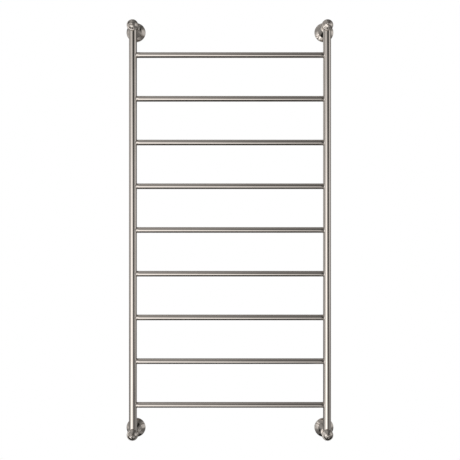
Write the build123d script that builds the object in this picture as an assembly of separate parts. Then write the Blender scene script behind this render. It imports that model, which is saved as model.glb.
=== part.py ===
"""Heated towel ladder that hangs on a wall by four turned posts.

Frame: +X to the right, +Y into the wall, +Z up, in millimetres. The origin is on the wall plane,
midway between the four posts. Turned pieces are drawn as half sections of (radius, distance off
the wall) and are turned about their post's axis, which runs along Y.
"""

from build123d import *
import math
import os

# Overall size
overall_width = 600.0
overall_height = 1200.0
cover_radius = 27.5
post_x = overall_width / 2 - cover_radius
post_z = overall_height / 2 - cover_radius

# Ladder frame: uprights and rungs share one plane parallel to the wall
ladder_off_wall = 80.0
upright_radius = 11.1
upright_wall = 1.2
upright_past_axis = 2.0
rung_radius = 8.0
rung_wall = 1.0
rung_count = 9
post_to_first_rung = 81.5
rung_pitch = (2 * post_z - 2 * post_to_first_rung) / (rung_count - 1)

# Post, turned from bar and bored for the wiring
plate_thickness = 2.5
stem_radius = 9.5
stem_bore = 6.5
bead_start = 50.9
bead_end = 60.3
bead_root = 11.7
bead_radius = 16.4
waist_radius = 11.3
ball_radius = 13.2
ring_back = 90.2
ring_front = 96.4
ring_root = 12.8
ring_radius = 15.9
socket_clearance = 0.05
socket_past_axis = 4.0
wiring_notch = 4.5

# Knob that screws into the front of the post
knob_root = 11.0
knob_groove = 0.5
knob_radius = 13.15
knob_edge = 0.95
button_radius = 3.7
projection = 109.8
stud_radius = 3.95
stud_length = 3.4
stud_hole_radius = 4.0
stud_hole_depth = 4.0

# Cover that slides along the stem and hides the wall plate: a flange, a collar and a long taper
cover_bore = 9.65
cover_edge = 2.8
collar_radius = 17.3
collar_start = 11.5
collar_end = 14.4
taper_tip_radius = 10.35
cover_depth = 35.6
hollow_depth = 25.0
seal_section = 0.9
seal_clearance = 0.05
seal_groove = (26.2, 28.4)
seal_groove_radius = 11.45

# Wall plate, screwed to the wall, with a spigot that the stem slips over
plate_radius = 22.0
spigot_radius = 6.45
spigot_length = 16.0
spigot_bore = 4.6
screw_hole_radius = 2.6
screw_head_radius = 5.0
screw_offset = 15.0
grub_radius = 2.5
grub_off_wall = 7.0
grub_length = 2.4

# Heater and wiring, all inside the tubes
cable_radius = 2.5
cable_bend = 18.0
lead_bend = 10.0
inlet_start = 20.0
inlet_end = 38.0
inlet_radius = 6.3
cutout_radius = 4.5
cutout_low = -post_z + 16.5
cutout_high = cutout_low + 36.0
cable_tail = 45.0
end_cap_length = 20.0
end_cap_radius = 4.0
grommet_length = 8.0
grommet_bore = 3.4

rung_heights = [-post_z + post_to_first_rung + i * rung_pitch for i in range(rung_count)]
corners = {
    "top_left": (-1, 1),
    "top_right": (1, 1),
    "bottom_left": (-1, -1),
    "bottom_right": (1, -1),
}


def at(radius, off_wall):
    """Point of a half section, in the plane that the pieces are turned from."""
    return (radius, -off_wall)


def turned(*edges):
    """Solid turned about the Y axis from the edges of a closed half section."""
    return revolve(make_face(Curve() + list(edges)), Axis.Y, 360)


def line(*points):
    return Polyline(*[at(*p) for p in points])


def arc(start, middle, end):
    return ThreePointArc(at(*start), at(*middle), at(*end))


def dome(start, end):
    """Spherical arc between two points of a half section, centred on the axis."""
    centre = (end[0] ** 2 - start[0] ** 2 + end[1] ** 2 - start[1] ** 2) / (2 * (end[1] - start[1]))
    radius = math.hypot(start[0], start[1] - centre)
    middle = (start[0] + end[0]) / 2
    return arc(start, (middle, centre + math.sqrt(radius**2 - middle**2)), end)


def along_post(radius, start, end):
    """Rod on the post's axis between two distances off the wall."""
    rod = Cylinder(radius, end - start, rotation=(90, 0, 0))
    return Pos(0, -(start + end) / 2, 0) * rod


def upright_rod(radius, low, high):
    """Vertical rod in the ladder's plane, on the axis of an upright."""
    return Pos(0, -ladder_off_wall, (low + high) / 2) * Cylinder(radius, high - low)


def rung_rod(radius, low, high):
    """Rod along X in the ladder's plane, on the axis of a rung."""
    rod = Cylinder(radius, high - low, rotation=(0, 90, 0))
    return Pos((low + high) / 2, -ladder_off_wall, 0) * rod


def make_post():
    """Stem, bead, waist, ball and front ring in one turned piece, with its tube socket facing down."""
    ball_back = ladder_off_wall - math.sqrt(ball_radius**2 - waist_radius**2)
    ring_foot = math.sqrt(ball_radius**2 - (ring_back - ladder_off_wall) ** 2)
    bead_middle = (bead_start + bead_end) / 2
    ring_middle = (ring_back + ring_front) / 2
    hole_end = ring_front - stud_hole_depth
    body = turned(
        line(
            (0, hole_end),
            (0, plate_thickness),
            (stem_radius, plate_thickness),
            (stem_radius, bead_start),
            (bead_root, bead_start),
        ),
        arc((bead_root, bead_start), (bead_radius, bead_middle), (bead_root, bead_end)),
        line((bead_root, bead_end), (waist_radius, bead_end), (waist_radius, ball_back)),
        arc((waist_radius, ball_back), (ball_radius, ladder_off_wall), (ring_foot, ring_back)),
        line((ring_foot, ring_back), (ring_root, ring_back)),
        arc((ring_root, ring_back), (ring_radius, ring_middle), (ring_root, ring_front)),
        line(
            (ring_root, ring_front),
            (stud_hole_radius, ring_front),
            (stud_hole_radius, hole_end),
            (0, hole_end),
        ),
    )
    socket = upright_rod(upright_radius + socket_clearance, -2 * ball_radius, socket_past_axis)
    bore = along_post(stem_bore, 0, ladder_off_wall)
    return body - socket - bore - grub_hole()


def grub_hole():
    """Hole through the underside of the stem for the screw that grips the spigot."""
    depth = stem_radius + 1
    return Pos(0, -grub_off_wall, -depth / 2) * Cylinder(grub_radius, depth)


def make_grub_screw():
    """Headless screw with a hexagon socket, tight against the spigot."""
    middle = -(spigot_radius + grub_length / 2)
    screw = Cylinder(grub_radius - 0.02, grub_length)
    key = Pos(0, 0, -grub_length / 2) * extrude(RegularPolygon(1.25, 6, major_radius=False), 1.6)
    return Pos(0, -grub_off_wall, middle) * (screw - key)


def make_knob():
    """Coned knob with a shallow crown and a round-nosed button, and a threaded stud behind."""
    base = ring_front
    edge_back = base + knob_groove
    knee = (8.1, base + 5.9)
    crown_middle = (6.1, base + 6.85)
    crown_top = (3.9, base + 7.95)
    button_shoulder = (button_radius, projection - button_radius)
    return turned(
        line(
            (0, projection),
            (0, base - stud_length),
            (stud_radius, base - stud_length),
            (stud_radius, base),
            (knob_root, base),
            (knob_root, edge_back),
            (knob_radius, edge_back),
            (knob_radius, edge_back + knob_edge),
            knee,
        ),
        arc(knee, crown_middle, crown_top),
        line(crown_top, (button_radius, crown_top[1]), button_shoulder),
        dome(button_shoulder, (0, projection)),
    )


def make_cover():
    """Hollow turned cover: a thin edge, a flange that rises to a collar, and a taper that ends
    in a thin tip round the stem."""
    groove_start, groove_end = seal_groove
    flange_foot = (cover_radius - 0.5, cover_edge + 0.5)
    flange_top = (collar_radius, collar_start)
    flange_wall = 1.5
    taper_slope = (collar_radius - taper_tip_radius) / (cover_depth - collar_end)
    hollow_top = collar_radius - flange_wall - taper_slope * (hollow_depth - collar_end)
    return turned(
        line((cover_radius - flange_wall, 0), (cover_radius, 0), (cover_radius, cover_edge), flange_foot),
        arc(flange_foot, (22.5, 7.2), flange_top),
        line(
            flange_top,
            (collar_radius, collar_end),
            (taper_tip_radius, cover_depth),
            (cover_bore, cover_depth),
            (cover_bore, groove_end),
            (seal_groove_radius, groove_end),
            (seal_groove_radius, groove_start),
            (cover_bore, groove_start),
            (cover_bore, hollow_depth),
            (hollow_top, hollow_depth),
            (collar_radius - flange_wall, collar_end - 0.5),
            (collar_radius - flange_wall, collar_start - 0.9),
            (cover_radius - flange_wall, 1.8),
            (cover_radius - flange_wall, 0),
        ),
    )


def make_cover_seal():
    """Rubber ring in the cover's groove that drags on the stem."""
    middle = sum(seal_groove) / 2
    ring = Torus(stem_radius + seal_clearance + seal_section, seal_section, rotation=(90, 0, 0))
    return Pos(0, -middle, 0) * ring


def make_wall_plate():
    """Disc with two countersunk screw holes and a hollow spigot."""
    plate = along_post(plate_radius, 0, plate_thickness) + along_post(spigot_radius, 0, spigot_length)
    plate -= along_post(spigot_bore, -1, spigot_length + 1)
    sink_depth = 1.5
    for side in (-1, 1):
        sink = turned(
            line(
                (0, plate_thickness - sink_depth),
                (screw_hole_radius, plate_thickness - sink_depth),
                (screw_head_radius, plate_thickness),
                (0, plate_thickness),
                (0, plate_thickness - sink_depth),
            )
        )
        hole = along_post(screw_hole_radius, -1, plate_thickness)
        plate -= Pos(side * screw_offset, 0, 0) * (sink + hole)
    return plate


def make_upright(side):
    """Tube with a hole for each rung and a notch at each end for the wiring."""
    end = post_z + upright_past_axis
    tube = upright_rod(upright_radius, -end, end) - upright_rod(upright_radius - upright_wall, -end, end)
    for height in rung_heights:
        tube -= Pos(0, 0, height) * rung_rod(rung_radius - rung_wall, *sorted((0, -side * 2 * upright_radius)))
    for height in (-post_z, post_z):
        tube -= Pos(0, 0, height) * along_post(wiring_notch, 0, ladder_off_wall)
    return Pos(side * post_x, 0, 0) * tube


def make_rung(height):
    """Tube between the uprights, its ends coped to their round faces."""
    rung = rung_rod(rung_radius, -post_x, post_x) - rung_rod(rung_radius - rung_wall, -post_x, post_x)
    for side in (-1, 1):
        rung -= Pos(side * post_x, 0, 0) * upright_rod(upright_radius, -post_z, post_z)
    return Pos(0, 0, height) * rung


def swept_cable(points, bend):
    """Round cable along straight runs joined by tangent arcs. Prints how its volume compares."""
    path = FilletPolyline(*points, radius=bend)
    start = Vector(*points[0])
    section = Plane(origin=start, z_dir=Vector(*points[1]) - start) * Circle(cable_radius)
    cable = sweep(section, path=path)
    expected = math.pi * cable_radius**2 * path.length
    print(f"cable {path.length:.0f} mm, volume over expected {cable.volume / expected:.4f}")
    return cable


def make_heating_cable():
    """Twin-core heating cable, up the ladder from rung to rung in one run."""
    y = -ladder_off_wall
    side = -1
    points = [(side * post_x, y, cutout_high)]
    for height in rung_heights:
        points.append((side * post_x, y, height))
        side = -side
        points.append((side * post_x, y, height))
    points.append((side * post_x, y, rung_heights[-1] + cable_tail))
    return swept_cable(points, cable_bend)


def make_end_cap():
    """Moulded cap that seals the far end of the heating cable."""
    low = rung_heights[-1] + cable_tail
    cap = Cylinder(end_cap_radius, end_cap_length)
    cap = fillet(cap.edges().group_by(Axis.Z)[-1], 2.0)
    return Pos(post_x, -ladder_off_wall, low + end_cap_length / 2) * cap


def make_thermal_cutout():
    """In-line capsule that breaks the circuit if the rail overheats."""
    length = cutout_high - cutout_low
    capsule = chamfer(Cylinder(cutout_radius, length).edges(), 1.2)
    return Pos(-post_x, -ladder_off_wall, cutout_low + length / 2) * capsule


def make_inner_lead():
    """Cold lead from the inlet through the post and up to the cut-out."""
    x = -post_x
    points = [
        (x, -inlet_end, -post_z),
        (x, -ladder_off_wall, -post_z),
        (x, -ladder_off_wall, cutout_low),
    ]
    return swept_cable(points, lead_bend)


def make_supply_inlet():
    """Insulated inlet in the stem, recessed round its pins."""
    recess = 8.0
    body = along_post(inlet_radius, inlet_start, inlet_end)
    return body - along_post(inlet_radius - 1.5, inlet_start - 1, inlet_start + recess)


def make_inlet_pins():
    """Three brass pins that stand in the inlet's recess."""
    pin = along_post(0.8, inlet_start + 2, inlet_start + 8)
    spread = 2.6
    return Compound([Rot(0, turn, 0) * Pos(0, 0, spread) * pin for turn in (0, 120, 240)])


def make_earth_terminal():
    """Stud inside the left upright, with a ring tag held by a nut."""
    height = cutout_low + 18
    inner = upright_radius - upright_wall
    tip = cutout_radius + 1.0
    stud = rung_rod(1.5, -2 * inner, -tip) & upright_rod(inner, -5, 5)
    tag = rung_rod(3.2, -tip - 2.8, -tip - 2.0) - rung_rod(1.5, -2 * inner, 0)
    nut_face = Plane(origin=(-tip - 2.0, -ladder_off_wall, 0), z_dir=(1, 0, 0))
    nut = extrude(nut_face * RegularPolygon(2.75, 6, major_radius=False), 1.4)
    nut -= rung_rod(1.5, -2 * inner, 0)
    return Compound([Pos(-post_x, 0, height) * piece for piece in (stud, tag, nut)])


def make_grommet():
    """Soft bush that guards the supply cable where it comes through the wall plate."""
    return along_post(spigot_bore - 0.05, 0, grommet_length) - along_post(grommet_bore, -1, grommet_length + 1)


def save(name, shape):
    shape.label = name
    export_step(shape, f"parts/{name}.step")


def place(shape, corner):
    """Moves a piece made on the Y axis to its corner, turned over at the bottom of the ladder."""
    across, up = corners[corner]
    turn = 0 if up > 0 else 180
    return Pos(across * post_x, 0, up * post_z) * Rot(0, turn, 0) * shape


os.makedirs("parts", exist_ok=True)

save("left_upright", make_upright(-1))
save("right_upright", make_upright(1))
for number, height in enumerate(rung_heights, start=1):
    save(f"rung_{number}", make_rung(height))

corner_pieces = {
    "post": make_post(),
    "knob": make_knob(),
    "wall_plate": make_wall_plate(),
    "cover": make_cover(),
    "cover_seal": make_cover_seal(),
}
for corner in corners:
    for piece, shape in corner_pieces.items():
        save(f"{corner}_{piece}", place(shape, corner))
grub_screw = make_grub_screw()
save("grub_screws", Compound([place(grub_screw, corner) for corner in corners]))

save("heating_cable", make_heating_cable())
save("heating_cable_end_cap", make_end_cap())
save("thermal_cutout", make_thermal_cutout())
save("inner_lead", make_inner_lead())
save("supply_inlet", place(make_supply_inlet(), "bottom_left"))
save("supply_inlet_pins", place(make_inlet_pins(), "bottom_left"))
save("earth_terminal", make_earth_terminal())
save("cable_grommet", place(make_grommet(), "bottom_left"))
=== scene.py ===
"""Heated towel ladder: turned and drawn surfaces, plated finishes and a small studio."""
import math

import bpy
import numpy as np
from bpy.props import FloatProperty, FloatVectorProperty, IntProperty, PointerProperty
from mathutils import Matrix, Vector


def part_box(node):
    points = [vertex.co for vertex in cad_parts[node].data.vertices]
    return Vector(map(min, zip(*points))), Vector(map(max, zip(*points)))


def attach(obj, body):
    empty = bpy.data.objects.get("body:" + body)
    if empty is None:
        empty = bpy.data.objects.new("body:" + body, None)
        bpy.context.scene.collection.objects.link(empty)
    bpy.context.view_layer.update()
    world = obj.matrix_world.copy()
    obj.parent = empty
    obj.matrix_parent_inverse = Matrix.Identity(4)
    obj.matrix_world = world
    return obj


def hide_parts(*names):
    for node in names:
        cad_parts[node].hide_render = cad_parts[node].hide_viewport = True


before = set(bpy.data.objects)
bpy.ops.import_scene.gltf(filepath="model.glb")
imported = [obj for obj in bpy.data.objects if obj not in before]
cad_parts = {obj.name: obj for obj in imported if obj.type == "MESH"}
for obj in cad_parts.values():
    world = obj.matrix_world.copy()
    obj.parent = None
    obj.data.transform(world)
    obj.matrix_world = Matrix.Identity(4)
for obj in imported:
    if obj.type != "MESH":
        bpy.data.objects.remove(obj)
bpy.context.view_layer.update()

bl_info = {
    "name": "Towel ladder",
    "version": (1, 0, 0),
    "blender": (4, 5, 0),
    "location": "3D View > Sidebar > Towel ladder",
    "description": "Builds the visible surfaces of a heated towel ladder and a studio to look at it in",
    "category": "Object",
}

RUNGS = sum(name.startswith("rung_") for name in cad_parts)
CORNERS = ("top_left", "top_right", "bottom_left", "bottom_right")
RAIL = "rail"
MM = 0.001
# polishing lines: how many a metre round the piece and along it, and how deep
TUBE_LINES = (2600.0, 9.0, 0.0012 * MM)
FITTING_LINES = (30.0, 3200.0, 0.0006 * MM)
BRAZE_LINES = (900.0, 900.0, 0.02 * MM)


def node_size(node):
    """Size of a CAD node's box along each axis."""
    low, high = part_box(node)
    return np.array(high) - np.array(low)


def node_centre(node):
    """Middle of a CAD node's box."""
    low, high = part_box(node)
    return (np.array(high) + np.array(low)) / 2


# ---------------------------------------------------------------- sizes, finishes, studio


class LadderSizes(bpy.types.PropertyGroup):
    """Sizes that the visible surfaces are made from."""

    upright_radius: FloatProperty(
        name="Upright radius", description="Outer radius of the two uprights",
        default=float(node_size("left_upright")[0] / 2), subtype="DISTANCE", unit="LENGTH")
    upright_wall: FloatProperty(
        name="Upright wall", description="Wall thickness of the uprights",
        default=1.2 * MM, subtype="DISTANCE", unit="LENGTH")
    rung_radius: FloatProperty(
        name="Rung radius", description="Outer radius of the rungs",
        default=float(node_size("rung_1")[2] / 2), subtype="DISTANCE", unit="LENGTH")
    rung_wall: FloatProperty(
        name="Rung wall", description="Wall thickness of the rungs",
        default=1.0 * MM, subtype="DISTANCE", unit="LENGTH")
    ladder_off_wall: FloatProperty(
        name="Tubes off wall", description="Distance from the wall to the axes of the tubes",
        default=float(-node_centre("rung_1")[1]), subtype="DISTANCE", unit="LENGTH")
    post_x: FloatProperty(
        name="Post across", description="Distance of each post's axis from the middle, sideways",
        default=float(node_centre("top_right_cover")[0]), subtype="DISTANCE", unit="LENGTH")
    post_z: FloatProperty(
        name="Post up", description="Distance of each post's axis from the middle, upwards",
        default=float(node_centre("top_right_cover")[2]), subtype="DISTANCE", unit="LENGTH")
    braze: FloatProperty(
        name="Braze", description="Size of the fillet of braze round each end of a rung",
        default=1.1 * MM, subtype="DISTANCE", unit="LENGTH")
    edge: FloatProperty(
        name="Eased edge", description="How far back the turned pieces' sharp edges are eased",
        default=0.25 * MM, subtype="DISTANCE", unit="LENGTH")
    facets: IntProperty(
        name="Facets", description="Faces round each turned piece", default=96, min=24, max=256)


class LadderFinish(bpy.types.PropertyGroup):
    """Colours and finishes."""

    nickel: FloatVectorProperty(
        name="Nickel", description="Colour of the nickel plate", subtype="COLOR", size=3,
        default=(0.66, 0.605, 0.555), min=0, max=1)
    nickel_deep: FloatVectorProperty(
        name="Nickel, deep", subtype="COLOR", size=3, default=(0.60, 0.54, 0.485), min=0, max=1,
        description="Colour of the plate where it is thicker or a little tarnished")
    tube_roughness: FloatProperty(
        name="Tube roughness", description="How far the tubes' satin finish blurs a reflection",
        default=0.07, min=0, max=1, subtype="FACTOR")
    fitting_roughness: FloatProperty(
        name="Fitting roughness", default=0.035, min=0, max=1, subtype="FACTOR",
        description="How far the turned fittings' polish blurs a reflection")
    zinc: FloatVectorProperty(
        name="Zinc", description="Colour of the zinc plate on the wall plates", subtype="COLOR",
        size=3, default=(0.62, 0.64, 0.66), min=0, max=1)
    rubber: FloatVectorProperty(
        name="Rubber", description="Colour of the rubber rings and the grommet", subtype="COLOR",
        size=3, default=(0.022, 0.022, 0.024), min=0, max=1)
    jacket: FloatVectorProperty(
        name="Cable jacket", description="Colour of the heating cable's jacket", subtype="COLOR",
        size=3, default=(0.42, 0.05, 0.03), min=0, max=1)
    brass: FloatVectorProperty(
        name="Brass", description="Colour of the inlet's pins and the earth terminal",
        subtype="COLOR", size=3, default=(0.73, 0.53, 0.24), min=0, max=1)


class LadderStudio(bpy.types.PropertyGroup):
    """Camera, floor and light."""

    camera_distance: FloatProperty(
        name="Camera distance", description="Distance from the wall plane to the camera",
        default=2.43, subtype="DISTANCE", unit="LENGTH")
    lens: FloatProperty(
        name="Lens", description="Focal length on a 36 mm sensor", default=65.5, min=10, max=300)
    floor_drop: FloatProperty(
        name="Floor drop", description="How far the floor lies below the ladder's middle",
        default=0.9, subtype="DISTANCE", unit="LENGTH")
    floor_colour: FloatVectorProperty(
        name="Floor", description="Colour of the floor", subtype="COLOR", size=3,
        default=(0.80, 0.79, 0.78), min=0, max=1)


# ---------------------------------------------------------------- surfaces


def arc(start, middle, end, steps=14):
    """Points of the circle through three points: its centre is where the perpendicular
    bisectors of the two chords meet, and the points stand at equal angles round it."""
    a, b, c = (np.array(p, float) for p in (start, middle, end))
    chords = np.array([b - a, c - b])
    half = np.array([chords[0] @ (a + b), chords[1] @ (b + c)]) / 2
    centre = np.linalg.solve(chords, half)
    angles = np.unwrap([math.atan2(*(p - centre)[::-1]) for p in (a, b, c)])
    turn = np.linspace(angles[0], angles[2], steps + 1)[:, None]
    radius = np.linalg.norm(a - centre)
    return centre + radius * np.hstack([np.cos(turn), np.sin(turn)])


def dome(start, end, steps=14):
    """Points of a circle centred on the axis, from start to end: a sphere once it is turned."""
    (r0, d0), (r1, d1) = start, end
    centre = (r1**2 - r0**2 + d1**2 - d0**2) / (2 * (d1 - d0))
    radius = math.hypot(r0, d0 - centre)
    turn = np.linspace(math.atan2(d0 - centre, r0), math.atan2(d1 - centre, r1), steps + 1)
    return np.stack([radius * np.cos(turn), centre + radius * np.sin(turn)], 1)


def eased(outline, setback, closed):
    """Outline with each corner of more than 20 degrees cut back by setback and rounded by a
    quadratic curve whose middle control point is the corner itself."""
    before, after = np.roll(outline, 1, 0), np.roll(outline, -1, 0)
    into, out = before - outline, after - outline
    into_length = np.linalg.norm(into, axis=1, keepdims=True)
    out_length = np.linalg.norm(out, axis=1, keepdims=True)
    straight = -(into * out).sum(1, keepdims=True) / np.maximum(into_length * out_length, 1e-12)
    corner = straight[:, 0] < math.cos(math.radians(20))
    if not closed:
        corner[[0, -1]] = False
    reach = np.minimum(setback, 0.4 * np.minimum(into_length, out_length))
    a = outline + into / into_length * reach
    b = outline + out / out_length * reach
    t = np.linspace(0, 1, 5)[None, :, None]
    curve = (1 - t) ** 2 * a[:, None] + 2 * t * (1 - t) * outline[:, None] + t**2 * b[:, None]
    points = np.where(corner[:, None, None], curve, outline[:, None])
    kept = np.repeat(corner[:, None], 5, 1)
    kept[:, 0] = True
    return points[kept]


def evenly(outline, step, closed):
    """Outline with points added on its long runs, so that none is longer than step."""
    ends = np.roll(outline, -1, 0)
    lengths = np.linalg.norm(ends - outline, axis=1)
    if not closed:
        lengths[-1] = 0
    parts = np.maximum(np.ceil(lengths / step), 1).astype(int)
    if not closed:
        parts[-1] = 1
    run = np.repeat(np.arange(len(outline)), parts)
    first = np.concatenate([[0], np.cumsum(parts)[:-1]])
    share = (np.arange(parts.sum()) - first[run]) / parts[run]
    return outline[run] + (ends - outline)[run] * share[:, None]


def surface(name, rows, closed):
    """Object from a grid of points, rows x places round. Each row closes on itself, and with
    closed set the last row joins the first. A row whose points coincide is a pole, and its
    faces are triangles. The UV map holds the share of a turn and the length along the rows."""
    count, around = rows.shape[:2]
    ids = np.arange(count * around).reshape(count, around)
    poles = np.ptp(rows, axis=1).max(1) < 1e-9
    ids[poles] = ids[poles, :1]
    lengths = np.linalg.norm(np.roll(rows, -1, 0) - rows, axis=2).mean(1)
    along = np.concatenate([[0], np.cumsum(lengths)])
    last = count if closed else count - 1
    here, there = np.arange(last)[:, None], (np.arange(last)[:, None] + 1) % count
    left = np.arange(around)[None]
    right = (left + 1) % around
    quads = np.stack([ids[here, left], ids[here, right], ids[there, right], ids[there, left]], 2)
    share = np.broadcast_to(np.stack([left, left + 1, left + 1, left], 2) / around, quads.shape)
    length = np.stack([along[here], along[here], along[here + 1], along[here + 1]], 2)
    length = np.broadcast_to(length, quads.shape)
    corners = rows.reshape(-1, 3)[quads]
    inner = corners - corners.mean((0, 1, 2))
    volume = np.einsum("ijk,ijk->", np.cross(inner[:, :, 0], inner[:, :, 1]), inner[:, :, 2])
    volume += np.einsum("ijk,ijk->", np.cross(inner[:, :, 0], inner[:, :, 2]), inner[:, :, 3])
    order = [0, 1, 2, 3] if volume > 0 else [3, 2, 1, 0]
    quads, share, length = (grid[:, :, order].reshape(-1, 4) for grid in (quads, share, length))
    distinct = [quads[:, i] != quads[:, i - 1] for i in range(4)]
    whole = np.logical_and.reduce(distinct)
    faces = quads[whole].tolist()
    uv = [np.stack([share[whole], length[whole]], 2).reshape(-1, 2)]
    for i in range(4):
        pinched = ~distinct[i]
        keep = [k for k in range(4) if k != i]
        faces += quads[pinched][:, keep].tolist()
        uv.append(np.stack([share[pinched][:, keep], length[pinched][:, keep]], 2).reshape(-1, 2))
    mesh = bpy.data.meshes.new(name)
    used, flat = np.unique(np.concatenate([np.ravel(f) for f in faces]), return_inverse=True)
    splits = np.cumsum([len(f) for f in faces])[:-1]
    mesh.from_pydata(rows.reshape(-1, 3)[used], [], [f.tolist() for f in np.split(flat, splits)])
    layer = mesh.uv_layers.new(name="turn")
    layer.data.foreach_set("uv", np.concatenate(uv).astype(np.float32).ravel())
    mesh.polygons.foreach_set("use_smooth", np.ones(len(mesh.polygons), bool))
    made = bpy.data.objects.new(name, mesh)
    bpy.context.scene.collection.objects.link(made)
    return made


def piece_from_rows(name, rows, closed, body):
    """Surface that rides on a body."""
    piece = surface(name, rows, closed)
    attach(piece, body)
    return piece


def circle(around):
    """Angles of a full turn, without the last, which is the first again."""
    return np.linspace(0, 2 * math.pi, around, endpoint=False)


def turned(name, outline, corner, body, sizes, closed=False):
    """Piece turned about the axis of the post at a corner: a point at radius r and distance d
    off the wall goes round the circle (x + r sin a, -d, z + r cos a)."""
    x = sizes.post_x if corner.endswith("right") else -sizes.post_x
    z = sizes.post_z if corner.startswith("top") else -sizes.post_z
    a = circle(sizes.facets)
    r, d = outline[:, :1], outline[:, 1:]
    rows = np.stack([x + r * np.sin(a), -d + 0 * a, z + r * np.cos(a)], 2)
    return piece_from_rows(name, rows, closed, body)


def tube_outline(radius, wall, low, high, sizes, step):
    """Closed half section of a tube: out along the outside, back along the bore."""
    corners = np.array([(radius, low), (radius, high), (radius - wall, high), (radius - wall, low)])
    return evenly(eased(corners, sizes.edge, True), step, True)


def post_outline(sizes):
    """Half section of a post in metres: bored stem, bead, waist, ball, ring and stud hole."""
    off = sizes.ladder_off_wall / MM
    stem, bore, back = 9.5, 6.5, 2.5
    bead, bead_root, bead_start, bead_end = 16.4, 11.7, 50.9, 60.3
    waist, ball = 11.3, 13.2
    ring, ring_root, ring_back, ring_front = 15.9, 12.8, 90.2, 96.4
    stud_hole, hole_end = 4.0, ring_front - 4
    bead_middle, ring_middle = (bead_start + bead_end) / 2, (ring_back + ring_front) / 2
    ball_back = off - math.sqrt(ball**2 - waist**2)
    ring_foot = math.sqrt(ball**2 - (ring_back - off) ** 2)
    outline = np.concatenate([
        [(0, off), (bore, off), (bore, back), (stem, back), (stem, bead_start)],
        arc((bead_root, bead_start), (bead, bead_middle), (bead_root, bead_end), 24),
        [(waist, bead_end)],
        arc((waist, ball_back), (ball, off), (ring_foot, ring_back), 24),
        arc((ring_root, ring_back), (ring, ring_middle), (ring_root, ring_front), 20),
        [(stud_hole, ring_front), (stud_hole, hole_end), (0, hole_end)],
    ]) * MM
    return evenly(eased(outline, sizes.edge, False), 0.8 * MM, False)


def knob_outline(sizes):
    """Half section of a knob in metres: stud, groove, edge, cone, shallow crown and button."""
    base, tip, button = 96.4, 109.8, 3.7
    stud, stud_end = 3.95, base - 3.4
    groove, groove_end, edge, edge_end = 11.0, base + 0.5, 13.15, base + 1.45
    knee, crown_middle, crown_top = (8.1, base + 5.9), (6.1, base + 6.85), (3.9, base + 7.95)
    outline = np.concatenate([
        [(0, stud_end), (stud, stud_end), (stud, base), (groove, base), (groove, groove_end)],
        [(edge, groove_end), (edge, edge_end)],
        arc(knee, crown_middle, crown_top, 12),
        [(button, crown_top[1])],
        dome((button, tip - button), (0, tip), 16),
    ]) * MM
    return evenly(eased(outline, sizes.edge, False), 0.5 * MM, False)


def cover_outline(sizes):
    """Closed half section of a cover in metres: edge, flange, collar and taper, then the bore,
    its groove and the hollow."""
    rim, edge, edge_end = 26.0, 27.5, 2.8
    shoulder, flange_middle = (27.0, 3.3), (22.5, 7.2)
    collar, collar_start, collar_end = 17.3, 11.5, 14.4
    tip, length, bore, bore_start = 10.35, 35.6, 9.65, 25.0
    groove, groove_start, groove_end = 11.45, 26.2, 28.4
    neck, inner, inner_start, inner_end, rim_end = 12.3, 15.8, 10.6, 13.9, 1.8
    outline = np.concatenate([
        [(rim, 0), (edge, 0), (edge, edge_end)],
        arc(shoulder, flange_middle, (collar, collar_start), 16),
        [(collar, collar_end), (tip, length), (bore, length), (bore, groove_end)],
        [(groove, groove_end), (groove, groove_start), (bore, groove_start), (bore, bore_start)],
        [(neck, bore_start), (inner, inner_end), (inner, inner_start), (rim, rim_end)],
    ]) * MM
    return evenly(eased(outline, sizes.edge, True), 0.8 * MM, True)


# ---------------------------------------------------------------- shader groups


def new_group(name, inputs, outputs):
    """Empty shader group with named sockets: inputs are (name, kind, default)."""
    group = bpy.data.node_groups.new(name, "ShaderNodeTree")
    for label, kind, default in inputs:
        socket = group.interface.new_socket(
            name=label, in_out="INPUT", socket_type=f"NodeSocket{kind}")
        if default is not None:
            socket.default_value = default
    for label, kind in outputs:
        group.interface.new_socket(name=label, in_out="OUTPUT", socket_type=f"NodeSocket{kind}")
    return group, group.nodes.new("NodeGroupInput"), group.nodes.new("NodeGroupOutput")


def wire(tree, value, socket):
    """Joins an output socket to an input, or sets the input to a plain value."""
    if isinstance(value, bpy.types.NodeSocket):
        tree.links.new(value, socket)
    else:
        socket.default_value = value


def maths(tree, operation, a, b=0.0, c=0.0):
    """Result of a Math node."""
    node = tree.nodes.new("ShaderNodeMath")
    node.operation = operation
    for socket, value in zip(node.inputs, (a, b, c)):
        wire(tree, value, socket)
    return node.outputs[0]


def mixed(tree, share, a, b):
    """Colour between a and b."""
    node = tree.nodes.new("ShaderNodeMix")
    node.data_type = "RGBA"
    wire(tree, share, node.inputs["Factor"])
    for socket, value in ((node.inputs[6], a), (node.inputs[7], b)):
        wire(tree, value if isinstance(value, bpy.types.NodeSocket) else (*value, 1.0), socket)
    return node.outputs[2]


def ranged(tree, value, low, high, to_low=0.0, to_high=1.0, smooth=False):
    """Value carried from one range to another and kept inside it."""
    node = tree.nodes.new("ShaderNodeMapRange")
    if smooth:
        node.interpolation_type = "SMOOTHSTEP"
    for label, amount in (("Value", value), ("From Min", low), ("From Max", high),
                          ("To Min", to_low), ("To Max", to_high)):
        wire(tree, amount, node.inputs[label])
    return node.outputs[0]


def noise(tree, vector, scale, detail=2.0, roughness=0.5):
    """Grey noise, 0 to 1."""
    node = tree.nodes.new("ShaderNodeTexNoise")
    wire(tree, vector, node.inputs["Vector"])
    for label, value in (("Scale", scale), ("Detail", detail), ("Roughness", roughness)):
        wire(tree, value, node.inputs[label])
    return node.outputs["Fac"]


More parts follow.
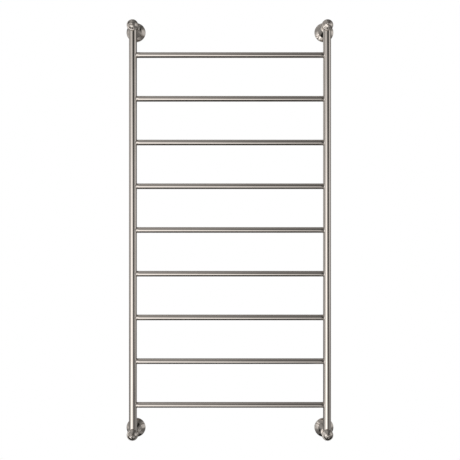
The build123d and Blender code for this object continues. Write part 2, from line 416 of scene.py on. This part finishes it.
def polish_lines_group():
    """Fine lines left by a polishing belt or a lathe, from the turn and length in the UV map.
    The point goes round a circle of the given radius, so the lines meet where the turn closes."""
    group, start, end = new_group(
        "Polish lines",
        [("Radius", "Float", 0.01), ("Lines round", "Float", 400.0),
         ("Lines along", "Float", 400.0)],
        [("Lines", "Float")])
    uv = group.nodes.new("ShaderNodeUVMap")
    uv.uv_map = "turn"
    parts = group.nodes.new("ShaderNodeSeparateXYZ")
    group.links.new(uv.outputs[0], parts.inputs[0])
    turn = maths(group, "MULTIPLY", parts.outputs[0], 2 * math.pi)
    reach = maths(group, "MULTIPLY", start.outputs["Radius"], start.outputs["Lines round"])
    place = group.nodes.new("ShaderNodeCombineXYZ")
    wire(group, maths(group, "MULTIPLY", maths(group, "COSINE", turn), reach), place.inputs[0])
    wire(group, maths(group, "MULTIPLY", maths(group, "SINE", turn), reach), place.inputs[1])
    rise = maths(group, "MULTIPLY", parts.outputs[1], start.outputs["Lines along"])
    wire(group, rise, place.inputs[2])
    fine = noise(group, place.outputs[0], 1.0, 3.0, 0.65)
    wire(group, ranged(group, fine, 0.3, 0.7), end.inputs["Lines"])
    return group


def handling_group():
    """Faint clouds from handling and cleaning."""
    group, start, end = new_group(
        "Handling marks", [("Cloud size", "Float", 0.05)], [("Clouds", "Float")])
    place = group.nodes.new("ShaderNodeTexCoord").outputs["Object"]
    wide = maths(group, "DIVIDE", 1.0, start.outputs["Cloud size"])
    clouds = noise(group, place, wide, 4.0, 0.55)
    wire(group, ranged(group, clouds, 0.35, 0.7, smooth=True), end.inputs["Clouds"])
    return group


def placed(tree, group, **values):
    """Copy of a group in a material, with its own values."""
    node = tree.nodes.new("ShaderNodeGroup")
    node.node_tree = group
    for label, value in values.items():
        wire(tree, value, node.inputs[label.replace("_", " ").capitalize()])
    return node


def shared_group(name, build):
    """The group of that name, built the first time it is asked for."""
    return bpy.data.node_groups.get(name) or build()


def handling_marks(tree, size):
    """Handling marks in a material, with clouds of that size."""
    return placed(tree, shared_group("Handling marks", handling_group), cloud_size=size).outputs[0]


def new_material(name):
    """Material with a Principled shader, returned with its tree and the shader."""
    material = bpy.data.materials.new(name)
    material.use_nodes = True
    tree = material.node_tree
    return material, tree, tree.nodes["Principled BSDF"]


def bump(tree, shader, height, distance):
    """Bump node from a height to the shader's normal."""
    node = tree.nodes.new("ShaderNodeBump")
    node.inputs["Strength"].default_value = 1.0
    node.inputs["Distance"].default_value = distance
    wire(tree, height, node.inputs["Height"])
    wire(tree, node.outputs[0], shader.inputs["Normal"])


def nickel(name, finish, roughness, radius, polish):
    """Nickel plate over polished metal, with its polishing lines and faint clouds. Both deepen
    the colour and blur the reflection a little."""
    lines_round, lines_along, depth = polish
    line_tint, cloud_tint, line_blur, cloud_blur = 0.25, 0.3, 0.05, 0.03
    material, tree, shader = new_material(name)
    shader.inputs["Metallic"].default_value = 1.0
    lines = placed(tree, shared_group("Polish lines", polish_lines_group), radius=radius,
                   lines_round=lines_round, lines_along=lines_along).outputs[0]
    clouds = handling_marks(tree, 0.05)
    shade = maths(tree, "MULTIPLY", clouds, cloud_tint)
    shade = maths(tree, "MULTIPLY_ADD", lines, line_tint, shade)
    wire(tree, mixed(tree, shade, finish.nickel, finish.nickel_deep), shader.inputs["Base Color"])
    rough = maths(tree, "MULTIPLY_ADD", lines, line_blur, roughness - 0.03)
    rough = maths(tree, "MULTIPLY_ADD", clouds, cloud_blur, rough)
    wire(tree, rough, shader.inputs["Roughness"])
    bump(tree, shader, lines, depth)
    return material


def zinc_plate(finish):
    """Bright zinc plate with its faint spangle and a rolled grain."""
    material, tree, shader = new_material("zinc_plate")
    shader.inputs["Metallic"].default_value = 1.0
    place = tree.nodes.new("ShaderNodeTexCoord").outputs["Object"]
    cells = tree.nodes.new("ShaderNodeTexVoronoi")
    wire(tree, place, cells.inputs["Vector"])
    cells.inputs["Scale"].default_value = 320.0
    spangle = tree.nodes.new("ShaderNodeSeparateColor")
    wire(tree, cells.outputs["Color"], spangle.inputs[0])
    grain = noise(tree, place, 2500.0, 3.0)
    shade = mixed(tree, spangle.outputs[0], finish.zinc, (0.50, 0.50, 0.47))
    rough = maths(tree, "MULTIPLY_ADD", spangle.outputs[1], 0.12, 0.30)
    wire(tree, shade, shader.inputs["Base Color"])
    wire(tree, rough, shader.inputs["Roughness"])
    bump(tree, shader, grain, 0.02 * MM)
    return material


def moulded(name, colour, roughness, grain_size, depth):
    """Moulded rubber or plastic: fine grain, and slightly paler where it is scuffed."""
    material, tree, shader = new_material(name)
    place = tree.nodes.new("ShaderNodeTexCoord").outputs["Object"]
    grain = noise(tree, place, 1 / grain_size, 3.0, 0.6)
    clouds = handling_marks(tree, 0.02)
    pale = tuple(min(1.0, c * 1.5 + 0.02) for c in colour)
    shade = mixed(tree, maths(tree, "MULTIPLY", clouds, 0.5), colour, pale)
    rough = ranged(tree, grain, 0.3, 0.7, roughness - 0.08, roughness + 0.08)
    wire(tree, shade, shader.inputs["Base Color"])
    wire(tree, rough, shader.inputs["Roughness"])
    bump(tree, shader, grain, depth)
    return material


def machined(name, colour, roughness):
    """Small machined metal part: fine cutting marks and uneven colour."""
    material, tree, shader = new_material(name)
    shader.inputs["Metallic"].default_value = 1.0
    place = tree.nodes.new("ShaderNodeTexCoord").outputs["Object"]
    cuts = noise(tree, place, 4000.0, 2.0)
    clouds = handling_marks(tree, 0.01)
    dull = tuple(c * 0.7 for c in colour)
    wire(tree, mixed(tree, clouds, colour, dull), shader.inputs["Base Color"])
    rough = ranged(tree, cuts, 0.3, 0.7, roughness - 0.06, roughness + 0.08)
    wire(tree, rough, shader.inputs["Roughness"])
    bump(tree, shader, cuts, 0.01 * MM)
    return material


def cover_with(material, *objects):
    """Gives each object that one material, on every slot it has."""
    for piece in objects:
        if not piece.material_slots:
            piece.data.materials.append(material)
        for place in piece.material_slots:
            place.material = material


def node_objects(*names):
    """CAD objects of those nodes."""
    return [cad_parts[name] for name in names]


# ---------------------------------------------------------------- pieces


class LADDER_OT_uprights(bpy.types.Operator):
    """Two drawn tubes that stand between the posts."""

    bl_idname = "ladder.uprights"
    bl_label = "Uprights"

    def execute(self, context):
        sizes, finish = context.scene.ladder_sizes, context.scene.ladder_finish
        metal = nickel("satin_nickel_upright", finish, finish.tube_roughness,
                       sizes.upright_radius, TUBE_LINES)
        a = circle(sizes.facets)
        for side, node in ((-1, "left_upright"), (1, "right_upright")):
            low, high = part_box(node)
            outline = tube_outline(sizes.upright_radius, sizes.upright_wall, low.z, high.z,
                                   sizes, 12 * MM)
            r, h = outline[:, :1], outline[:, 1:]
            rows = np.stack([side * sizes.post_x + r * np.sin(a),
                             -sizes.ladder_off_wall + r * np.cos(a), h + 0 * a], 2)
            tube = piece_from_rows(f"{node}_tube", rows, True, RAIL)
            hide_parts(node)
            cover_with(metal, tube)
        return {"FINISHED"}


class LADDER_OT_rungs(bpy.types.Operator):
    """Nine drawn tubes, each coped to fit the uprights' round faces."""

    bl_idname = "ladder.rungs"
    bl_label = "Rungs"

    def execute(self, context):
        sizes, finish = context.scene.ladder_sizes, context.scene.ladder_finish
        metal = nickel("satin_nickel_rung", finish, finish.tube_roughness, sizes.rung_radius,
                       TUBE_LINES)
        a = circle(sizes.facets)
        outline = tube_outline(sizes.rung_radius, sizes.rung_wall, -1.0, 1.0, sizes, 0.04)
        r, share = outline[:, :1], outline[:, 1:]
        off_axis = r * np.cos(a)
        # each line along the tube ends on the upright: post_x less the root of the upright's
        # radius squared less y squared
        reach = sizes.post_x - np.sqrt(sizes.upright_radius**2 - off_axis**2)
        for number in range(1, RUNGS + 1):
            height = node_centre(f"rung_{number}")[2]
            rows = np.stack([share * reach, -sizes.ladder_off_wall + off_axis,
                             height + r * np.sin(a)], 2)
            tube = piece_from_rows(f"rung_{number}_tube", rows, True, RAIL)
            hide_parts(f"rung_{number}")
            cover_with(metal, tube)
        return {"FINISHED"}


class LADDER_OT_braze(bpy.types.Operator):
    """Thin fillets of braze where the rungs meet the uprights."""

    bl_idname = "ladder.braze"
    bl_label = "Braze"

    def execute(self, context):
        sizes, finish = context.scene.ladder_sizes, context.scene.ladder_finish
        metal = nickel("nickel_over_braze", finish, finish.tube_roughness + 0.08,
                       sizes.rung_radius, BRAZE_LINES)
        a = circle(sizes.facets)
        size, sink = sizes.braze, 0.2 * MM
        for side, name in ((-1, "left"), (1, "right")):
            for number in range(1, RUNGS + 1):
                height = node_centre(f"rung_{number}")[2]

                def on_upright(radius):
                    """Ring of that radius about the rung's axis, laid on the upright's face."""
                    y = radius * np.cos(a)
                    reach = sizes.post_x - np.sqrt(sizes.upright_radius**2 - y**2)
                    return np.stack([side * reach, -sizes.ladder_off_wall + y,
                                     height + radius * np.sin(a)], 1)

                corner = on_upright(sizes.rung_radius)
                inner = corner - np.array([side * size, 0, 0])
                outer = on_upright(sizes.rung_radius + size)
                # concave fillet: quadratic curve from the rung to the upright, drawn to the corner
                t = np.linspace(0, 1, 9)[:, None, None]
                bend = (1 - t) ** 2 * inner + 2 * t * (1 - t) * corner + t**2 * outer
                sunk = on_upright(sizes.rung_radius - sink) + np.array([side * sink, 0, 0])
                rows = np.concatenate([bend, sunk[None]])
                ring = piece_from_rows(f"braze_{name}_{number}", rows, True, RAIL)
                cover_with(metal, ring)
        return {"FINISHED"}


class LADDER_OT_posts(bpy.types.Operator):
    """Four turned posts, each with its bead, waist, ball and front ring."""

    bl_idname = "ladder.posts"
    bl_label = "Posts"

    def execute(self, context):
        sizes, finish = context.scene.ladder_sizes, context.scene.ladder_finish
        metal = nickel("bright_nickel_post", finish, finish.fitting_roughness, 12 * MM,
                       FITTING_LINES)
        outline = post_outline(sizes)
        for corner in CORNERS:
            piece = turned(f"{corner}_turned_post", outline, corner, RAIL, sizes)
            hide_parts(f"{corner}_post")
            cover_with(metal, piece)
        return {"FINISHED"}


class LADDER_OT_knobs(bpy.types.Operator):
    """Four coned knobs on the fronts of the posts."""

    bl_idname = "ladder.knobs"
    bl_label = "Knobs"

    def execute(self, context):
        sizes, finish = context.scene.ladder_sizes, context.scene.ladder_finish
        metal = nickel("bright_nickel_knob", finish, finish.fitting_roughness, 8 * MM,
                       FITTING_LINES)
        outline = knob_outline(sizes)
        for corner in CORNERS:
            piece = turned(f"{corner}_turned_knob", outline, corner, RAIL, sizes)
            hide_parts(f"{corner}_knob")
            cover_with(metal, piece)
        return {"FINISHED"}


class LADDER_OT_covers(bpy.types.Operator):
    """Four hollow covers that slide along the stems."""

    bl_idname = "ladder.covers"
    bl_label = "Covers"

    def execute(self, context):
        sizes, finish = context.scene.ladder_sizes, context.scene.ladder_finish
        metal = nickel("bright_nickel_cover", finish, finish.fitting_roughness, 20 * MM,
                       FITTING_LINES)
        outline = cover_outline(sizes)
        for corner in CORNERS:
            piece = turned(f"{corner}_spun_cover", outline, corner, f"{corner}_rose",
                           sizes, closed=True)
            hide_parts(f"{corner}_cover")
            cover_with(metal, piece)
        return {"FINISHED"}


class LADDER_OT_fixings(bpy.types.Operator):
    """Finishes for the wall plates, grub screws and rubber rings."""

    bl_idname = "ladder.fixings"
    bl_label = "Fixings"

    def execute(self, context):
        finish = context.scene.ladder_finish
        plates = [f"{corner}_wall_plate" for corner in CORNERS]
        seals = [f"{corner}_cover_seal" for corner in CORNERS]
        cover_with(zinc_plate(finish), *node_objects(*plates))
        steel = machined("blackened_steel", (0.10, 0.10, 0.105), 0.38)
        cover_with(steel, *node_objects("grub_screws"))
        rubber = moulded("black_rubber", tuple(finish.rubber), 0.62, 0.3 * MM, 0.02 * MM)
        cover_with(rubber, *node_objects("cable_grommet", *seals))
        return {"FINISHED"}


class LADDER_OT_wiring(bpy.types.Operator):
    """Finishes for the heating cable, its fittings and the supply inlet."""

    bl_idname = "ladder.wiring"
    bl_label = "Wiring"

    def execute(self, context):
        finish = context.scene.ladder_finish
        jacket = moulded("silicone_jacket", tuple(finish.jacket), 0.5, 0.5 * MM, 0.02 * MM)
        cover_with(jacket, *node_objects("heating_cable", "heating_cable_end_cap", "inner_lead"))
        plastic = moulded("inlet_plastic", (0.72, 0.71, 0.67), 0.42, 0.4 * MM, 0.01 * MM)
        cover_with(plastic, *node_objects("supply_inlet"))
        aluminium = machined("drawn_aluminium", (0.78, 0.78, 0.79), 0.3)
        cover_with(aluminium, *node_objects("thermal_cutout"))
        brass = machined("turned_brass", tuple(finish.brass), 0.22)
        cover_with(brass, *node_objects("supply_inlet_pins", "earth_terminal"))
        return {"FINISHED"}


# ---------------------------------------------------------------- studio


def soft_box_group():
    """Light of one soft box, seen along a ray: 1 inside its half width and half height, falling
    to 0 across its soft edge, times its brightness. A flag is a box with a negative one."""
    group, start, end = new_group(
        "Soft box",
        [("Across", "Float", 0.0), ("Up", "Float", 0.0), ("Centre across", "Float", 0.0),
         ("Centre up", "Float", 0.0), ("Half width", "Float", 20.0), ("Half height", "Float", 20.0),
         ("Soft edge", "Float", 8.0), ("Brightness", "Float", 1.0)],
        [("Light", "Float")])
    value = {socket.name: socket for socket in start.outputs}
    sides = []
    for ray, centre, half in (("Across", "Centre across", "Half width"),
                              ("Up", "Centre up", "Half height")):
        away = maths(group, "ABSOLUTE", maths(group, "SUBTRACT", value[ray], value[centre]))
        away = maths(group, "MINIMUM", away, maths(group, "SUBTRACT", 360.0, away))
        near = maths(group, "SUBTRACT", value[half], value["Soft edge"])
        far = maths(group, "ADD", value[half], value["Soft edge"])
        sides.append(ranged(group, away, far, near, smooth=True))
    light = maths(group, "MULTIPLY", maths(group, "MULTIPLY", *sides), value["Brightness"])
    wire(group, light, end.inputs["Light"])
    return group


# Soft boxes: centre across and up, half width, half height and soft edge in degrees, then
# brightness. Across is 0 towards the room and grows to the right.
SOFT_BOXES = (
    ("left wall", -80, 26, 84, 58, 16, 0.20),
    ("left door", -67, 0, 5, 18, 6, 0.85),
    ("left door, head", -63, 27, 5, 10, 5, 0.45),
    ("left door, lintel", -65, 25, 3, 4, 3, 0.60),
    ("left door, foot", -66, -22, 4, 8, 5, 1.50),
    ("left door, left foot", -80, -13, 5, 7, 6, 0.30),
    ("left door, edge", -87, 20, 2, 40, 5, 0.35),
    ("left door, edge at the foot", -89, -36, 3, 6, 5, 0.70),
    ("left door, edge at the head", -91, 44, 3, 6, 5, 0.60),
    ("window", -27, -6, 22, 12, 8, 1.20),
    ("window, upper half", -34, 13, 11, 9, 7, 0.65),
    ("window, foot", 2, -10, 10, 4, 5, 0.40),
    ("window, right edge", 14, -7, 3, 13, 5, 0.45),
    ("window on the floor", -8, -32, 13, 14, 7, 1.35),
    ("floor under the window", -33, -27, 15, 19, 12, 0.65),
    ("left of the floor", -55, -38, 4, 9, 5, 2.00),
    ("left of the floor, far end", -59, -56, 5, 4, 6, 0.45),
    ("front left of the floor", -50, -47, 4, 5, 5, 1.00),
    ("front left corner of the floor", -42, -56, 4, 4, 5, 0.70),
    ("front of the floor", -28, -62, 14, 14, 10, 0.45),
    ("right of the floor", 28, -42, 24, 20, 12, 0.27),
    ("front edge of the floor", 26, -66, 14, 4, 7, 0.40),
    ("right wall", 100, 9, 46, 22, 12, 0.22),
    ("side window", 62, 4, 4, 12, 5, 1.00),
    ("side window, middle", 74, 10, 4, 24, 6, 0.35),
    ("side window, right half", 92, 8, 8, 13, 8, 0.50),
    ("side window, top light", 92, 42, 8, 8, 8, 0.25),
    ("side window on the floor", 74, -56, 7, 10, 7, 0.25),
    ("rear right window", 162, -14, 20, 16, 10, 0.35),
    ("rear left window", -123, 4, 6, 11, 5, 0.95),
    ("rear left window on the floor", -114, -22, 4, 6, 6, 0.70),
    ("rear door", -168, 5, 5, 9, 4, 0.70),
    ("rear door on the floor", -168, -34, 3, 5, 4, 0.45),
    ("rear door, head", 180, 48, 10, 10, 8, 0.35),
    ("rear left of the ceiling", -155, 62, 8, 12, 6, 0.35),
    ("overhead", -10, 82, 110, 10, 6, 0.18),
    ("overhead, over the window", -40, 70, 20, 5, 5, 0.20),
    ("left flag", -100, 8, 6, 42, 5, -0.35),
    ("window bar", -54, -7, 4, 14, 6, -0.30),
    ("front flag", 26, 5, 7, 15, 5, -0.50),
    ("upper flag", 7, 22, 8, 8, 5, -0.30),
    ("upper flag, right half", 18, 33, 8, 6, 5, -0.20),
    ("window sill", 0, -20, 4, 3, 4, -0.40),
    ("lower flag", 0, -65, 18, 9, 5, -0.40),
    ("right window bar", 50, 0, 3, 14, 5, -0.25),
    ("right flag", 116, 8, 10, 18, 6, -0.32),
    ("rear right window bar", 138, -2, 3, 8, 3, -0.40),
    ("upper back left flag", -156, 38, 12, 12, 8, -0.15),
    ("lower back left flag", -152, -30, 16, 34, 10, -0.35),
    ("lower left flag", -104, -52, 6, 22, 7, -0.35),
    ("floor behind", 180, -82, 108, 14, 8, -0.30),
    ("floor in front", 0, -84, 60, 8, 6, -0.15),
    ("lower back right flag", 104, -50, 7, 26, 8, -0.25),
    ("upper right flag", 100, 55, 60, 8, 8, -0.07),
    ("upper back right flag", 142, 26, 16, 18, 10, -0.25),
)
# light between the boxes, and the least that the flags leave
AMBIENT = 0.17
DARKEST = 0.015


def studio_world():
    """World: white to the camera, even grey to soft surfaces, and the soft boxes to gloss."""
    grey, white = 0.8, 1.0
    world = bpy.data.worlds.new("studio")
    world.use_nodes = True
    tree = world.node_tree
    backdrop = tree.nodes["Background"]
    backdrop.inputs["Color"].default_value = (1, 1, 1, 1)
    ray = tree.nodes.new("ShaderNodeSeparateXYZ")
    wire(tree, tree.nodes.new("ShaderNodeTexCoord").outputs["Generated"], ray.inputs[0])
    ahead = maths(tree, "MULTIPLY", ray.outputs[1], -1.0)
    across = maths(tree, "DEGREES", maths(tree, "ARCTAN2", ray.outputs[0], ahead))
    up = maths(tree, "DEGREES", maths(tree, "ARCSINE", ray.outputs[2]))
    total = AMBIENT
    group = shared_group("Soft box", soft_box_group)
    for label, centre_across, centre_up, half_width, half_height, edge, brightness in SOFT_BOXES:
        box = placed(tree, group, across=across, up=up, centre_across=centre_across,
                     centre_up=centre_up, half_width=half_width, half_height=half_height,
                     soft_edge=edge, brightness=brightness)
        box.label = label
        total = maths(tree, "ADD", box.outputs[0], total)
    total = maths(tree, "MAXIMUM", total, DARKEST)
    path = tree.nodes.new("ShaderNodeLightPath")
    shine = tree.nodes.new("ShaderNodeMix")
    wire(tree, path.outputs["Is Glossy Ray"], shine.inputs["Factor"])
    shine.inputs[2].default_value = grey
    wire(tree, total, shine.inputs[3])
    seen = tree.nodes.new("ShaderNodeMix")
    wire(tree, path.outputs["Is Camera Ray"], seen.inputs["Factor"])
    wire(tree, shine.outputs[0], seen.inputs[2])
    seen.inputs[3].default_value = white
    wire(tree, seen.outputs[0], backdrop.inputs["Strength"])
    bpy.context.scene.world = world


def lamp(name, place, size, power):
    """Large square lamp aimed at the ladder's middle, that soft surfaces see and gloss doesn't."""
    light = bpy.data.lights.new(name, "AREA")
    light.size = size
    light.energy = power
    holder = bpy.data.objects.new(name, light)
    bpy.context.scene.collection.objects.link(holder)
    holder.location = place
    holder.rotation_euler = holder.location.to_track_quat("Z", "Y").to_euler()
    holder.visible_glossy = False


def studio_floor(studio):
    """Pale floor below the ladder, a sheet with a rounded border, white to the camera's rays
    where nothing shades it."""
    material, tree, shader = new_material("pale_floor")
    place = tree.nodes.new("ShaderNodeTexCoord").outputs["Object"]
    speckle = noise(tree, place, 260.0, 3.0)
    darker = tuple(c * 0.96 for c in studio.floor_colour)
    wire(tree, mixed(tree, speckle, studio.floor_colour, darker), shader.inputs["Base Color"])
    shader.inputs["Roughness"].default_value = 0.7
    half_width, near, far, thickness = 1.6, -1.5, 0.75, 0.02
    around = circle(96)
    power = 5.0  # of the superellipse that its border follows
    edge_x = half_width * np.sign(np.sin(around)) * np.abs(np.sin(around)) ** (2 / power)
    depth = (far - near) / 2 * np.sign(np.cos(around)) * np.abs(np.cos(around)) ** (2 / power)
    share = np.array([0.0, 0.25, 0.5, 0.75, 1.0, 1.0, 0.0])[:, None]
    drop = thickness * np.array([0, 0, 0, 0, 0, 1, 1])[:, None]
    rows = np.stack([share * edge_x, (near + far) / 2 + share * depth,
                     -studio.floor_drop - drop + 0 * share * edge_x], 2)
    floor = surface("floor", rows, False)
    cover_with(material, floor)
    floor.visible_glossy = False


class LADDER_OT_studio(bpy.types.Operator):
    """Camera, pale floor, soft lamps and the world."""

    bl_idname = "ladder.studio"
    bl_label = "Studio"

    def execute(self, context):
        scene, studio = context.scene, context.scene.ladder_studio
        scene.view_settings.view_transform = "Standard"
        studio_world()
        studio_floor(studio)
        lamp("key_lamp", (-1.6, -2.0, 1.8), 1.6, 45.0)
        lamp("fill_lamp", (1.8, -1.6, 1.0), 1.4, 20.0)
        camera = bpy.data.objects.new("camera", bpy.data.cameras.new("camera"))
        scene.collection.objects.link(camera)
        camera.location = (0, -studio.camera_distance, 0)
        camera.rotation_euler = (math.pi / 2, 0, 0)
        camera.data.lens = studio.lens
        camera.data.sensor_width = 36.0
        scene.camera = camera
        return {"FINISHED"}


OPERATORS = (
    LADDER_OT_uprights, LADDER_OT_rungs, LADDER_OT_braze, LADDER_OT_posts, LADDER_OT_knobs,
    LADDER_OT_covers, LADDER_OT_fixings, LADDER_OT_wiring, LADDER_OT_studio,
)
GROUPS = {"ladder_sizes": LadderSizes, "ladder_finish": LadderFinish, "ladder_studio": LadderStudio}


class LADDER_PT_panel(bpy.types.Panel):
    """Sidebar panel with each step and its values."""

    bl_label = "Towel ladder"
    bl_idname = "LADDER_PT_panel"
    bl_space_type = "VIEW_3D"
    bl_region_type = "UI"
    bl_category = "Towel ladder"

    def draw(self, context):
        for name, group in GROUPS.items():
            box = self.layout.box()
            box.label(text=group.__doc__.rstrip("."))
            for value in group.__annotations__:
                box.prop(getattr(context.scene, name), value)
        for step in OPERATORS:
            self.layout.operator(step.bl_idname)


def register():
    for group in GROUPS.values():
        bpy.utils.register_class(group)
    for step in (*OPERATORS, LADDER_PT_panel):
        bpy.utils.register_class(step)
    for name, group in GROUPS.items():
        setattr(bpy.types.Scene, name, PointerProperty(type=group))


def unregister():
    for name in GROUPS:
        delattr(bpy.types.Scene, name)
    for step in (LADDER_PT_panel, *reversed(OPERATORS)):
        bpy.utils.unregister_class(step)
    for group in reversed(GROUPS.values()):
        bpy.utils.unregister_class(group)


def main():
    """Registers the steps and runs them in order."""
    register()
    for step in OPERATORS:
        section, name = step.bl_idname.split(".")
        if getattr(getattr(bpy.ops, section), name)() != {"FINISHED"}:
            raise RuntimeError(f"{step.bl_label} didn't finish")


if __name__ == "__main__":
    main()
